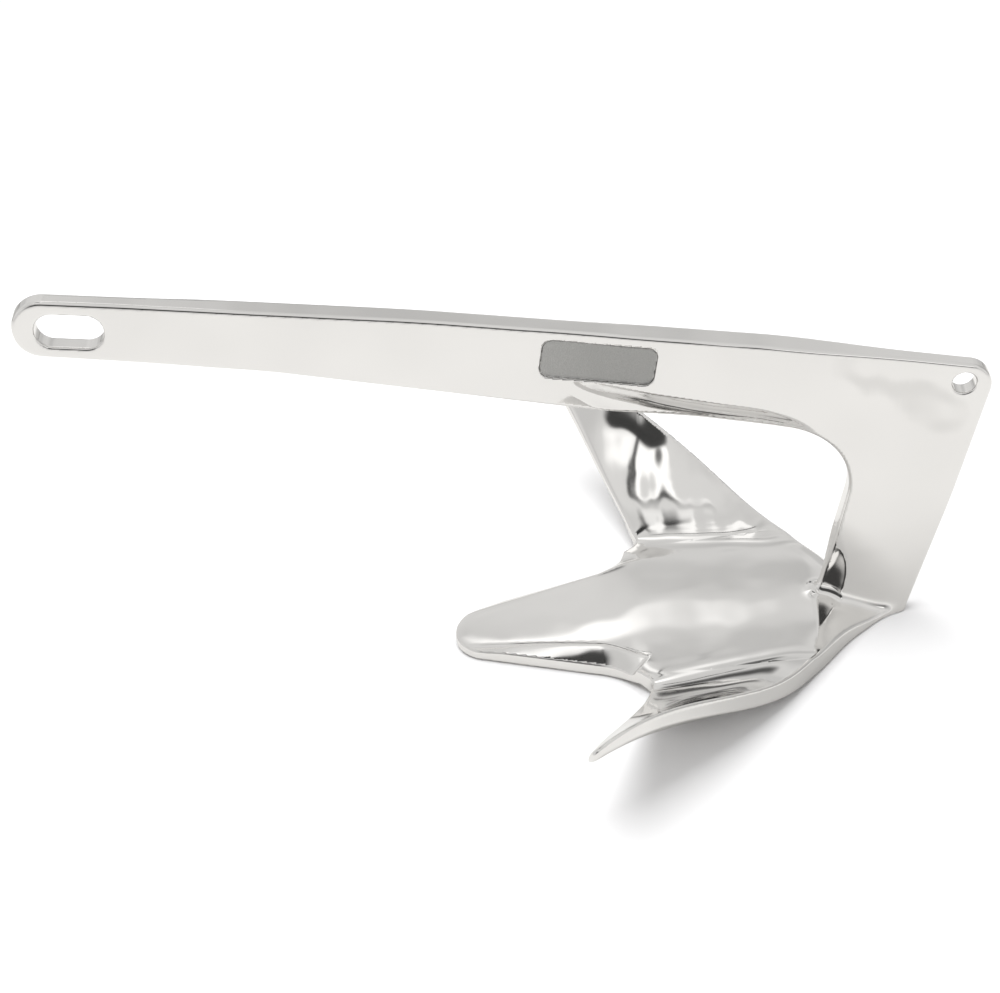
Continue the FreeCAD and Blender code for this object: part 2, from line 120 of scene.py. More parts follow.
@dataclass(frozen=True)
class Outline:
    """Closed outline of straight sides joined by tangent arcs, counter-clockwise.

    Attributes:
        corners: Corner points with the radius that rounds each of them.
    """

    corners: tuple[tuple[float, float, float], ...]

    def distance(self, across: Array, along: Array) -> Array:
        """Signed distance from points to the outline.

        Formula: of all sides and arcs, the signed distance whose size is least. A side counts
        negative on its left, an arc by how far a point lies from its centre. Where two sides meet
        in a sharp corner and are equally far, the outer one counts.

        Args:
            across: First coordinates of the points.
            along: Second coordinates of the points.

        Returns:
            Distances, negative inside the outline.
        """
        points = [np.array(corner[:2], dtype=float) for corner in self.corners]
        radii = [corner[2] for corner in self.corners]
        starts, ends, arcs = [], [], []
        for index, point in enumerate(points):
            before = points[index - 1] - point
            after = points[(index + 1) % len(points)] - point
            before = before / np.linalg.norm(before)
            after = after / np.linalg.norm(after)
            half = math.acos(float(np.clip(before @ after, -1.0, 1.0))) / 2.0
            reach = radii[index] / math.tan(half)
            ends.append(point + before * reach)
            starts.append(point + after * reach)
            bisector = (before + after) / np.linalg.norm(before + after)
            bulges = before[0] * after[1] - before[1] * after[0] < 0.0
            arcs.append((point + bisector * (radii[index] / math.sin(half)), bulges))
        best = np.full(np.broadcast_shapes(np.shape(across), np.shape(along)), FAR)
        for index, start in enumerate(starts):
            end = ends[(index + 1) % len(points)]
            side = end - start
            length = float(np.linalg.norm(side))
            share = ((across - start[0]) * side[0] + (along - start[1]) * side[1]) / length ** 2
            share = np.clip(share, 0.0, 1.0)
            gap_x = across - start[0] - share * side[0]
            gap_y = along - start[1] - share * side[1]
            sign = np.where(side[0] * gap_y - side[1] * gap_x > 0.0, -1.0, 1.0)
            value = sign * np.hypot(gap_x, gap_y)
            lead = np.abs(best) - np.abs(value)
            best = np.where((lead > TIE) | ((lead > -TIE) & (value > best)), value, best)
        for (centre, bulges), start, end, radius in zip(arcs, starts, ends, radii):
            if radius <= 0.0:
                continue
            from_x, from_y = across - centre[0], along - centre[1]
            first, last = end - centre, start - centre
            turn = 1.0 if bulges else -1.0
            inside = (turn * (first[0] * from_y - first[1] * from_x) >= 0.0) & (
                turn * (from_x * last[1] - from_y * last[0]) >= 0.0)
            value = turn * (np.hypot(from_x, from_y) - radius)
            nearer = inside & (np.abs(value) < np.abs(best))
            best = np.where(nearer, value, best)
        return best


@dataclass(frozen=True)
class RoundedBlock:
    """Rounded rectangle in the side view, turned by its slope.

    Attributes:
        centre: X and Z of its middle.
        length: Its length.
        height: Its height.
        corner: Radius of its corners.
        slope: Angle of its length against X, in degrees.
    """

    centre: tuple[float, float]
    length: float
    height: float
    corner: float
    slope: float

    def distance(self, x: Array, z: Array) -> Array:
        """Signed distance from points of the side view, negative inside."""
        cos, sin = cos_sin(self.slope)
        dx, dz = x - self.centre[0], z - self.centre[1]
        along = np.abs(dx * cos + dz * sin) - self.length / 2 + self.corner
        up = np.abs(dz * cos - dx * sin) - self.height / 2 + self.corner
        outside = np.hypot(np.maximum(along, 0.0), np.maximum(up, 0.0))
        return outside + np.minimum(np.maximum(along, up), 0.0) - self.corner


@dataclass(frozen=True)
class GroundHollow:
    """Hollow that a wheel grinds into both sides of the shank beside the throat.

    Attributes:
        way: X, Z and depth of the wheel's middle along its way.
        wheel: Radius of the wheel.
        softness: Width over which the hollow's border is polished over.
        steps: Straight steps that the way is followed in.
    """

    way: tuple[tuple[float, float, float], ...]
    wheel: float = 14.0
    softness: float = 0.5
    steps: int = 60

    def depth(self, x: Array, z: Array) -> Array:
        """How deep the hollow goes at points of the side view.

        Formula: the wheel's bite at the nearest point of its way, less what its round leaves
        standing at the distance from there, and softly held above zero.
        """
        stations = np.array(self.way)
        knots = np.linspace(0.0, 1.0, len(stations))
        fine = np.linspace(0.0, 1.0, self.steps + 1)
        course = np.stack([smooth_through(knots, stations[:, axis], fine) for axis in range(3)], 1)
        shape = np.broadcast_shapes(np.shape(x), np.shape(z))
        nearest, bite = np.full(shape, FAR), np.zeros(shape)
        for start, end in zip(course, course[1:]):
            step = end - start
            share = ((x - start[0]) * step[0] + (z - start[1]) * step[1]) / (step[:2] @ step[:2])
            share = np.clip(share, 0.0, 1.0)
            gap = np.hypot(x - start[0] - share * step[0], z - start[1] - share * step[1])
            closer = gap < nearest
            nearest = np.where(closer, gap, nearest)
            bite = np.where(closer, start[2] + share * step[2], bite)
        nearest = np.minimum(nearest, self.wheel * 0.9)
        left = bite - (self.wheel - np.sqrt(self.wheel ** 2 - nearest ** 2))
        return soft_high(left, np.zeros(shape), self.softness)


def smooth_through(knots: Array, values: Array, wanted: Array) -> Array:
    """Values of a smooth curve through given knots.

    Formula: cubic spans whose slopes at the knots are the mean of the slopes on either side.

    Args:
        knots: Rising parameters.
        values: Value at each knot.
        wanted: Parameters to look up.

    Returns:
        The curve's values there.
    """
    slopes = np.gradient(values, knots)
    span = np.clip(np.searchsorted(knots, wanted, side="right") - 1, 0, len(knots) - 2)
    width = knots[span + 1] - knots[span]
    share = (wanted - knots[span]) / width
    square, cube = share ** 2, share ** 3
    return (
        values[span] * (2 * cube - 3 * square + 1)
        + slopes[span] * width * (cube - 2 * square + share)
        + values[span + 1] * (3 * square - 2 * cube)
        + slopes[span + 1] * width * (cube - square)
    )


# The two halves of the casting


@dataclass(frozen=True)
class Shank:
    """Flat shank from the shackle eye to the crown, and down to the heel.

    Attributes:
        outline: Its side view.
        stations: Thickness at places along X.
        bend: Half the length over which the bends of its thickness are rounded.
        eye_edge: Radius that rounds its edges at the eye.
        crown_edge: Radius that rounds them from the arm's middle on.
        edge_change: Where along X the one radius turns into the other.
        least_flat: What the rounding leaves at least of half the thickness.
        slot: Shackle slot.
        hole: X, Z and radius of the trip line hole.
        cut_edge: Radius that rounds the edges of the slot and the hole.
        panel: Sunk panel on the near side.
        panel_depth: How deep the panel is sunk.
        panel_flare: How much wider the panel gets for each millimetre of height.
        panel_edge: Radius that rounds the panel's edges.
        hollows: Hollows beside the throat.
        hollow_top: Height above which no hollow reaches.
    """

    outline: Outline = Outline((
        (-160.3, 137.1, 9.8), (-80.0, 123.5, 260.0), (18.0, 99.9, 400.0), (72.0, 87.6, 200.0),
        (116.8, 78.6, 25.0), (96.7, -6.0, 0.0), (129.9, -6.0, 0.0), (146.7, 48.0, 400.0),
        (161.1, 101.2, 8.5), (86.0, 117.5, 300.0), (-30.0, 138.7, 900.0), (-100.0, 149.4, 600.0),
        (-160.3, 158.1, 10.3),
    ))
    stations: tuple[tuple[float, float], ...] = (
        (-160.0, 6.8), (-120.0, 6.8), (-94.0, 8.2), (22.0, 8.2), (44.0, 9.4), (97.0, 9.4),
        (126.0, 6.2), (162.0, 6.2),
    )
    bend: float = 8.0
    eye_edge: float = 1.5
    crown_edge: float = 1.3
    edge_change: tuple[float, float] = (-120.0, -40.0)
    least_flat: float = 0.3
    slot: RoundedBlock = RoundedBlock((-141.8, 144.6), 22.5, 12.4, 6.0, -8.0)
    hole: tuple[float, float, float] = (149.8, 96.3, 4.0)
    cut_edge: float = 0.9
    panel: RoundedBlock = RoundedBlock((28.6, 116.8), 38.5, 14.6, 3.6, -10.6)
    panel_depth: float = 0.8
    panel_flare: float = 0.3
    panel_edge: float = 0.3
    hollows: tuple[GroundHollow, ...] = (
        GroundHollow((
            (6.0, 124.4, -1.2), (20.0, 109.0, 0.0), (41.0, 97.8, 1.5), (62.0, 89.7, 2.9),
            (82.2, 85.1, 2.2), (98.2, 79.2, 0.5), (109.6, 66.0, -0.4), (113.6, 52.2, -1.4),
        )),
        GroundHollow((
            (109.1, 48.0, -1.0), (105.8, 34.0, 0.26), (102.5, 20.0, 2.6), (97.8, 0.0, 2.6),
        )),
    )
    hollow_top: float = 126.0

    def half_thickness(self, x: Array) -> Array:
        """Half the shank's thickness along X.

        Formula: straight between the stations, and averaged over a short length to round the
        bends.
        """
        places, thick = zip(*self.stations)
        shifts = np.linspace(-self.bend, self.bend, 9)
        whole = sum(np.interp(x + shift, places, thick) for shift in shifts) / len(shifts)
        return whole / 2.0

    def distance(self, x: Array, y: Array, z: Array) -> Array:
        """Signed distance from points to the shank, negative inside.

        Formula: the side view and the thickness meet in rounded edges, and the slot, the hole and
        the panel are cut out of them.
        """
        half = self.half_thickness(x)
        side = self.outline.distance(x, z)
        ground = half
        for hollow in self.hollows:
            ground = ground - np.where(z < self.hollow_top, hollow.depth(x, z), 0.0)
        edge = self.eye_edge + (self.crown_edge - self.eye_edge) * ease(*self.edge_change, x)
        plate = round_meet(side, np.abs(y) - ground, np.minimum(edge, ground - self.least_flat))
        plate = round_cut(plate, self.slot.distance(x, z), self.cut_edge)
        hole_x, hole_z, radius = self.hole
        plate = round_cut(plate, np.hypot(x - hole_x, z - hole_z) - radius, self.cut_edge)
        floor = y + half - self.panel_depth
        walls = self.panel.distance(x, z) + (y + half) * self.panel_flare
        return round_cut(plate, np.maximum(walls, floor), self.panel_edge)


@dataclass(frozen=True)
class Claw:
    """Claw of three flukes: a flat centre fluke with bevelled edges and two curled wings.

    Attributes:
        plan: Half of its outline seen from above, run on past the middle.
        nose_x: X of the nose of the centre fluke.
        tip_y: Y of a wing's tip.
        floor_height: Height of the floor.
        floor_crown: How much lower the floor is at the valleys than along its middle.
        nose_height: Height of the centre fluke's front edge.
        nose_from: X where the floor starts to drop to the nose.
        nose_blend: Width over which the drop starts softly.
        nose_law: Power that the drop follows.
        tail_height: Height of the floor's end.
        tail: Where along X the floor rolls down to its end.
        valley_y: Where the floor meets the wings.
        wing_height: Height of a wing in the valley, at wing_x.
        wing_x: X that the pitch of a wing turns about.
        wing_slope: Slope of a wing outside the valley and inside it.
        curl: How fast a wing curls up with the square of its distance from the valley.
        pitch: Slope of a wing along X at its root.
        twist: How fast that slope grows with the square of the distance from twist_y.
        twist_y: Where the twist starts.
        root_wall: Wall of a wing at its root.
        tip_wall: Wall of a wing at its tip.
        lead_wall: Wall at the leading edge.
        lead_width: Width over which the leading edge is thinned.
        band_slope: How steeply the band along the trailing rim rolls over.
        rim: Radius that rounds the upper rims at the notch.
        lower_rim: Radius that rounds the lower rims.
    """

    plan: Outline = Outline((
        (-28.6, -40.0, 0.0), (128.0, -40.0, 0.0), (128.0, 2.6, 0.0), (110.5, 17.5, 60.0),
        (76.2, 59.2, 300.0), (28.5, 99.4, 60.0), (12.0, 110.7, 2.4), (35.0, 54.0, 80.0),
        (40.0, 39.0, 6.0), (27.0, 27.3, 25.0), (-28.6, 9.4, 12.4),
    ))
    nose_x: float = -28.6
    tip_y: float = 110.7
    floor_height: float = 11.2
    floor_crown: float = 3.0
    nose_height: float = 4.0
    nose_from: float = 35.0
    nose_blend: float = 12.0
    nose_law: float = 1.3
    tail_height: float = 2.2
    tail: tuple[float, float] = (98.0, 127.0)
    valley_y: float = 36.0
    wing_height: float = 7.3
    wing_x: float = 50.0
    wing_slope: tuple[float, float] = (0.14, 0.35)
    curl: float = 0.0102
    pitch: float = 0.08
    twist: float = 0.0002
    twist_y: float = 44.0
    root_wall: float = 10.0
    tip_wall: float = 6.6
    lead_wall: float = 3.3
    lead_width: float = 16.0
    band_slope: float = 0.24
    rim: float = 1.2
    lower_rim: float = 0.9

    def floor_top(self, x: Array, y: Array) -> Array:
        """Height of the floor: low at the nose, level inside and eased down to the tail."""
        ahead = soft_high(self.nose_from - x, 0.0, self.nose_blend) / (self.nose_from - self.nose_x)
        height = self.floor_height - (self.floor_height - self.nose_height) * ahead ** self.nose_law
        height = height - (self.floor_height - self.tail_height) * ease(*self.tail, x)
        return height - self.floor_crown * (y / self.valley_y) ** 2

    def wing_top(self, x: Array, y: Array) -> Array:
        """Height of a wing's inner face: a slope that curls up and twists towards the tip."""
        out = np.abs(y) - self.valley_y
        slope = np.where(out > 0.0, *self.wing_slope)
        curl = self.curl * np.maximum(out, 0.0) ** 2
        pitch = self.pitch + self.twist * np.maximum(np.abs(y) - self.twist_y, 0.0) ** 2
        pitch = pitch * np.minimum(1.0, np.abs(y) / self.valley_y)
        return self.wing_height + slope * out + curl + pitch * (x - self.wing_x)

    def bevel_top(self, x: Array, y: Array) -> Array:
        """Height of the bevels along the centre fluke.

        Formula: from the rim's height the bevel rises inwards across its width, which grows from
        the nose to the notch by a parabola, and behind the notch it closes in a rounded hook. The
        fluke's edge runs straight from the nose to the notch and turns out a little behind it.
        """
        edge_y = 9.4 + 17.9 * (x - self.nose_x) / 55.6 + 3.4 * ease(22.0, 38.0, x)
        width = 1.2 + 0.1167 * (x + 26.0) - 0.00082 * (x + 26.0) * (x - 10.0)
        inwards = edge_y - np.abs(y)
        line = self.floor_top(x, edge_y - width)
        rise = np.maximum((line - 4.8) / width, 0.42)
        hook = 0.5 * np.maximum(x - 32.0 - 0.9 * inwards, 0.0) ** 2
        return line + rise * (inwards - width) + hook

    def top(self, x: Array, y: Array) -> Array:
        """Height of the whole inner face of the claw."""
        bevelled = soft_low(self.floor_top(x, y), self.bevel_top(x, y), 0.9)
        return soft_high(bevelled, self.wing_top(x, y), 4.0)

    def sole(self, x: Array, y: Array) -> Array:
        """Height of the wings' underside, one thinning wall below their inner face.

        Formula: the wall thins evenly from the root to the tip, and with the square of the
        nearness to the leading edge, which runs from the notch at (35, 54) to the tip.
        """
        out = np.maximum(np.abs(y) - self.valley_y, 0.0) / (self.tip_y - self.valley_y)
        wall = self.root_wall + (self.tip_wall - self.root_wall) * out
        along = np.maximum(np.abs(y) - 54.0, 0.0) / 56.7
        ahead = 1.0 - np.clip((x - 35.0 + 23.0 * along) / self.lead_width, 0.0, 1.0)
        return self.wing_top(x, y) - wall + (wall - self.lead_wall) * ahead ** 2

    def distance(self, x: Array, y: Array, z: Array) -> Array:
        """Signed distance from points to the claw, negative inside.

        Formula: the height above the inner face and below the underside, each divided by its
        slope, meet the plan in rounded rims. Along the trailing rim the inner face rolls over in
        a flat band that widens from the tip to the root and ends before the tail. The rims are
        rounder on the wings and sharper along the bevels.
        """
        edge = self.plan.distance(x, np.abs(y))
        band = 1.0 + 3.0 * ease(40.0, 64.0, x) + 1.5 * ease(64.0, 84.0, x)
        band = band - 5.0 * ease(106.0, 124.0, x)
        top = self.top(x, y)
        top = soft_low(top, top - self.band_slope * (edge + band), 1.6)
        above = (z - top) / steepness(self.top, x, y)
        below = soft_high((self.sole(x, y) - z) / steepness(self.sole, x, y), -z, 3.0)
        bevelled = (1.0 - ease(34.0, 44.0, x)) * (1.0 - ease(38.0, 52.0, np.abs(y)))
        rounding = self.rim + 0.5 * ease(60.0, 86.0, np.abs(y)) - 0.7 * bevelled
        return round_meet(round_meet(above, edge, rounding), below, self.lower_rim)


def steepness(height: Callable[[Array, Array], Array], x: Array, y: Array) -> Array:
    """Length of a height's slope and one: what a vertical gap is divided by."""
    step = 0.4
    slope_x = (height(x + step, y) - height(x - step, y)) / (2 * step)
    slope_y = (height(x, y + step) - height(x, y - step)) / (2 * step)
    return np.sqrt(1.0 + slope_x ** 2 + slope_y ** 2)


# Surface of the field


class Way(Enum):
    """Directions of the grid."""

    X = 0
    Y = 1
    Z = 2


@dataclass(frozen=True)
class GradedGrid:
    """Grid whose steps are fine where the casting has detail.

    Attributes:
        x_runs: Start, end and step of each run along X.
        y_runs: The same along Y, for the positive half.
        z_runs: The same along Z.
    """

    x_runs: tuple[tuple[float, float, float], ...] = (
        (-162.0, -119.0, 0.85), (-119.0, -30.0, 1.8), (-30.0, 8.0, 1.2), (8.0, 50.0, 0.65),
        (50.0, 118.0, 0.9), (118.0, 140.0, 1.1), (140.0, 161.0, 0.75),
    )
    y_runs: tuple[tuple[float, float, float], ...] = ((0.0, 6.0, 0.6), (6.0, 112.0, 1.05))
    z_runs: tuple[tuple[float, float, float], ...] = (
        (-1.2, 46.0, 0.9), (46.0, 74.0, 1.3), (74.0, 126.0, 0.65), (126.0, 159.0, 0.85),
    )

    def axis(self, way: Way) -> Array:
        """Coordinates of the grid planes along one direction."""
        runs = (self.x_runs, self.y_runs, self.z_runs)[way.value]
        planes = [
            np.linspace(start, end, max(1, round((end - start) / step)), endpoint=False)
            for start, end, step in runs]
        line = np.append(np.concatenate(planes), runs[-1][1])
        if way is Way.Y:
            line = np.concatenate([-line[:0:-1], line])
        return line


@dataclass
class FieldSurface:
    """Quad mesh of the zero surface of a field.

    Attributes:
        distance: The field.
        grid: The grid that it is looked up on.
        blocks: Boxes that hold the solid, as low and high corners.
    """

    distance: Field
    grid: GradedGrid
    blocks: tuple[Block, ...]
    points: Array = field(default_factory=lambda: np.zeros((0, 3)))
    quads: Array = field(default_factory=lambda: np.zeros((0, 4), dtype=int))

    def sample(self) -> tuple[Array, list[Array]]:
        """Look the field up on the grid, block by block.

        Returns:
            The values, positive where no block is, and the three lines of coordinates.
        """
        lines = [self.grid.axis(way) for way in Way]
        values = np.full([len(line) for line in lines], OUTSIDE)
        for low, high in self.blocks:
            spans = [
                np.flatnonzero((line >= start) & (line <= end))
                for line, start, end in zip(lines, low, high)]
            window = np.ix_(*spans)
            places = [line[span] for line, span in zip(lines, spans)]
            values[window] = self.distance(*np.meshgrid(*places, indexing="ij", sparse=True))
        return values, lines

    def build(self) -> None:
        """Place one point in every cell that the surface crosses and join neighbours.

        Formula: a cell's point is the mean of where the surface crosses its edges, and each grid
        edge that crosses the surface makes one quad of the four cells round it.
        """
        values, lines = self.sample()
        solid = values < 0.0
        shape = tuple(size - 1 for size in solid.shape)
        count = np.zeros(shape, dtype=np.int8)
        corners = [(i, j, k) for i in (0, 1) for j in (0, 1) for k in (0, 1)]
        for i, j, k in corners:
            count += solid[i:i + shape[0], j:j + shape[1], k:k + shape[2]]
        cells = np.argwhere((count > 0) & (count < 8))
        number = np.full(shape, -1, dtype=np.int64)
        number[tuple(cells.T)] = np.arange(len(cells))
        total = np.zeros((len(cells), 3))
        crossings = np.zeros(len(cells))
        for start in corners:
            for way in range(3):
                if start[way]:
                    continue
                end = list(start)
                end[way] = 1
                first = cells + np.array(start)
                last = cells + np.array(end)
                low, high = values[tuple(first.T)], values[tuple(last.T)]
                crosses = (low < 0.0) != (high < 0.0)
                share = np.where(crosses, low / np.where(crosses, low - high, 1.0), 0.0)
                place = np.stack([line[first[:, axis]] for axis, line in enumerate(lines)], 1)
                target = lines[way][last[:, way]]
                place[:, way] += share * (target - place[:, way])
                total += place * crosses[:, None]
                crossings += crosses
        self.points = total / crossings[:, None]
        self.quads = np.concatenate([self.faces_across(solid, number, way) for way in range(3)])

    @staticmethod
    def faces_across(solid: Array, number: Array, way: int) -> Array:
        """Quads for the grid edges along one direction that cross the surface."""
        others = [axis for axis in range(3) if axis != way]
        before = np.take(solid, range(solid.shape[way] - 1), axis=way)
        after = np.take(solid, range(1, solid.shape[way]), axis=way)
        edges = np.argwhere(before != after)
        last = np.array(solid.shape)[others] - 1
        inner = np.all((edges[:, others] > 0) & (edges[:, others] < last), axis=1)
        edges = edges[inner]
        leaves = before[tuple(edges.T)]
        offsets = [(-1, -1), (0, -1), (0, 0), (-1, 0)]
        ring = []
        for first, second in offsets:
            cell = edges.copy()
            cell[:, others[0]] += first
            cell[:, others[1]] += second
            ring.append(number[tuple(cell.T)])
        quads = np.stack(ring, 1)
        forward = leaves if way != 1 else ~leaves
        return np.where(forward[:, None], quads, quads[:, ::-1])

    def gradient(self, points: Array, step: float = 0.06) -> Array:
        """Slope of the field at points, from small steps either way."""
        slope = np.zeros_like(points)
        for way in range(3):
            shift = np.zeros(3)
            shift[way] = step
            ahead, behind = points + shift, points - shift
            slope[:, way] = (self.distance(*ahead.T) - self.distance(*behind.T)) / (2 * step)
        return slope

    def settle(self, rounds: int = 3) -> None:
        """Bring the points onto the surface and even out their spacing.

        Formula: each round moves a point half way to the mean of its neighbours, less the part
        along the surface's normal, and then back along the slope to where the field is zero.
        """
        pairs = np.concatenate([self.quads[:, [a, (a + 1) % 4]] for a in range(4)])
        amount = np.bincount(pairs.ravel(), minlength=len(self.points))
        for turn in range(rounds):
            slope = self.gradient(self.points)
            size = np.maximum(np.sum(slope ** 2, axis=1), LEAST_SLOPE)
            if turn:
                mean = np.stack([
                    np.bincount(pairs[:, 0], self.points[pairs[:, 1], axis], len(self.points))
                    + np.bincount(pairs[:, 1], self.points[pairs[:, 0], axis], len(self.points))
                    for axis in range(3)], 1) / amount[:, None]
                pull = (mean - self.points) * 0.5
                pull -= slope * (np.sum(pull * slope, axis=1) / size)[:, None]
                self.points += pull
            self.land(slope, 0.6)
        self.land(self.gradient(self.points), 0.4)

    def land(self, slope: Array, most: float) -> None:
        """Move the points along the field's slope to where the field is zero.

        Args:
            slope: Slope of the field at the points.
            most: Longest move, as a share of the slope.
        """
        size = np.maximum(np.sum(slope ** 2, axis=1), LEAST_SLOPE)
        value = self.distance(*self.points.T)
        self.points -= slope * np.clip(value / size, -most, most)[:, None]

    def normals(self) -> Array:
        """Outward directions at the points, from the slope of the field."""
        slope = self.gradient(self.points, 0.12)
        return slope / np.maximum(np.linalg.norm(slope, axis=1), 1e-9)[:, None]


# Finishes


class Socket:
    """Shader value that is written as an expression.

    An expression on values adds the Math nodes that it needs to the node tree.
    """

    def __init__(self, book: "NodeBook", link: bpy.types.NodeSocket) -> None:
        """Wrap an output socket of a node tree."""
        self.book = book
        self.link = link

    def math(self, operation: str, other: "Socket | float", swapped: bool = False) -> "Socket":
        """Join this value and another in a Math node."""
        values = [other, self] if swapped else [self, other]
        return self.book.node("ShaderNodeMath", {"operation": operation}, values)

    def __add__(self, other: "Socket | float") -> "Socket":
        """Sum."""
        return self.math("ADD", other)

    def __radd__(self, other: float) -> "Socket":
        """Sum with a number in front."""
        return self.math("ADD", other)

    def __sub__(self, other: "Socket | float") -> "Socket":
        """Difference."""
        return self.math("SUBTRACT", other)

    def __rsub__(self, other: float) -> "Socket":
        """Number less this value."""
        return self.math("SUBTRACT", other, swapped=True)

    def __mul__(self, other: "Socket | float") -> "Socket":
        """Product."""
        return self.math("MULTIPLY", other)

    def __rmul__(self, other: float) -> "Socket":
        """Product with a number in front."""
        return self.math("MULTIPLY", other)

    def __truediv__(self, other: "Socket | float") -> "Socket":
        """Quotient."""
        return self.math("DIVIDE", other)

    def __pow__(self, power: float) -> "Socket":
        """Power."""
        return self.math("POWER", power)

    def size(self) -> "Socket":
        """Value without its sign."""
        return self.book.node("ShaderNodeMath", {"operation": "ABSOLUTE"}, [self])

    def above(self, other: "Socket | float") -> "Socket":
        """Larger of two values."""
        return self.math("MAXIMUM", other)

    def eased(self, low: float, high: float) -> "Socket":
        """Smooth step from 0 at low to 1 at high."""
        settings = {"interpolation_type": "SMOOTHSTEP"}
        return self.book.node(
            "ShaderNodeMapRange", settings, {"Value": self, "From Min": low, "From Max": high})


class NodeBook:
    """Nodes of one material or world, made by one method."""

    def __init__(self, tree: bpy.types.NodeTree) -> None:
        """Start from an empty tree."""
        self.tree = tree
        tree.nodes.clear()

    def node(
        self, kind: str, settings: dict | None = None, inputs: dict | list | None = None,
        output: str | int = 0,
    ) -> Socket:
        """Make one node.

        Args:
            kind: Type of the node.
            settings: Its properties, set before anything else.
            inputs: Values or sockets of its inputs, by name or in order.
            output: Which output is handed back.

        Returns:
            That output as a value for further expressions.
        """
        node = self.tree.nodes.new(kind)
        for name, value in (settings or {}).items():
            setattr(node, name, value)
        pairs = inputs.items() if isinstance(inputs, dict) else enumerate(inputs or [])
        for name, value in pairs:
            if isinstance(value, Socket):
                self.tree.links.new(value.link, node.inputs[name])
            else:
                node.inputs[name].default_value = value
        return Socket(self, node.outputs[output])

    def ramp(self, value: Socket, stops: tuple[tuple[float, Colour], ...]) -> Socket:
        """Colour ramp over a value, from its stops."""
        made = self.node("ShaderNodeValToRGB", None, {"Fac": value}, "Color")
        elements = made.link.node.color_ramp.elements
        while len(elements) < len(stops):
            elements.new(0.5)
        for element, (place, colour) in zip(elements, stops):
            element.position = place
            element.color = (*colour, 1.0)
        return made

    def finish(self, kind: str, surface: Socket) -> None:
        """Wire a surface to the output node of the given kind."""
        end = self.tree.nodes.new(kind)
        self.tree.links.new(surface.link, end.inputs["Surface"])


@dataclass(frozen=True)
class PolishedStainless:
    """Mirror polished cast stainless steel, with a matt floor in the sunk panel.

    Attributes:
        colour: Colour of the polished metal.
        panel_colour: Colour of the matt metal in the panel.
        roughness: Roughness of the polished metal.
        panel_roughness: Roughness of the panel's floor.
        cloud_size: Scale of the wide waves that the polishing leaves.
        swirl_size: Scale of the smaller ones.
        grit_size: Scale of the grain of the panel's floor.
        rib_size: Scale of the ribs on the far wing, along each axis.
        ribs_from: Where along Y the ribs fade in, in metres.
        panel: The sunk panel, in millimetres.
    """

    panel: RoundedBlock
    colour: Colour = (0.86, 0.85, 0.835)
    panel_colour: Colour = (0.47, 0.47, 0.46)
    roughness: float = 0.05
    panel_roughness: float = 0.42
    cloud_size: float = 38.0
    swirl_size: float = 95.0
    grit_size: float = 2600.0
    rib_size: tuple[float, float, float] = (75.0, 13.0, 13.0)
    ribs_from: tuple[float, float] = (0.034, 0.050)

    def panel_mask(self, book: NodeBook, place: Socket) -> Socket:
        """1 inside the panel's outline on the near side and 0 outside it."""
        x, y, z = (
            book.node("ShaderNodeSeparateXYZ", None, [place], axis) * (1.0 / MM)
            for axis in ("X", "Y", "Z"))
        cos, sin = cos_sin(self.panel.slope)
        dx, dz = x - self.panel.centre[0], z - self.panel.centre[1]
        along = (dx * cos + dz * sin).size() - (self.panel.length / 2 - self.panel.corner)
        up = (dz * cos - dx * sin).size() - (self.panel.height / 2 - self.panel.corner)
        reach = (along.above(0.0) ** 2.0 + up.above(0.0) ** 2.0) ** 0.5
        inside = 1.0 - (reach - self.panel.corner).eased(-0.7, 0.1)
        near = 1.0 - y.eased(-3.5, -2.0)
        return inside * near

    def material(self) -> bpy.types.Material:
        """Make the material."""
        made = bpy.data.materials.new("polished_stainless")
        made.use_nodes = True
        book = NodeBook(made.node_tree)
        place = book.node("ShaderNodeTexCoord", None, None, "Object")
        mask = self.panel_mask(book, place)
        scales = ((self.cloud_size, 0.0), (self.swirl_size, 0.0), (self.grit_size, 3.0))
        cloud, swirl, grit = (
            book.node(
                "ShaderNodeTexNoise", None, {"Vector": place, "Scale": size, "Detail": detail}, 0)
            for size, detail in scales)
        bare = book.ramp(cloud, (
            (0.3, tuple(0.97 * part for part in self.colour)), (0.7, self.colour)))
        matt = book.ramp(grit, (
            (0.3, tuple(0.8 * part for part in self.panel_colour)), (0.7, self.panel_colour)))
        colour = book.node(
            "ShaderNodeMix", {"data_type": "RGBA"}, {0: mask, 6: bare, 7: matt}, 2)
        rough = (cloud * 0.035 + (self.roughness - 0.015) + swirl * 0.02) * (1.0 - mask)
        rough = rough + mask * self.panel_roughness + mask * grit * 0.12
        drawn = book.node(
            "ShaderNodeVectorMath", {"operation": "MULTIPLY"}, [place, self.rib_size], 0)
        ribs = book.node(
            "ShaderNodeTexNoise", None, {"Vector": drawn, "Scale": 1.0, "Detail": 1.0}, 0)
        y = book.node("ShaderNodeSeparateXYZ", None, [place], "Y")
        waves = (cloud + swirl * 0.22 + ribs * y.eased(*self.ribs_from) * 0.9) * (1.0 - mask)
        ripple = book.node(
            "ShaderNodeBump", None, {"Strength": 0.8, "Distance": 0.001, "Height": waves}, 0)
        grain = book.node(
            "ShaderNodeBump", None,
            {"Strength": 0.6, "Distance": 0.0002, "Height": grit * mask, "Normal": ripple}, 0)
        metal = book.node("ShaderNodeBsdfPrincipled", None, {
            "Base Color": colour, "Metallic": 1.0, "Roughness": rough, "Normal": grain}, 0)
        book.finish("ShaderNodeOutputMaterial", metal)
        return made


# The casting as a piece


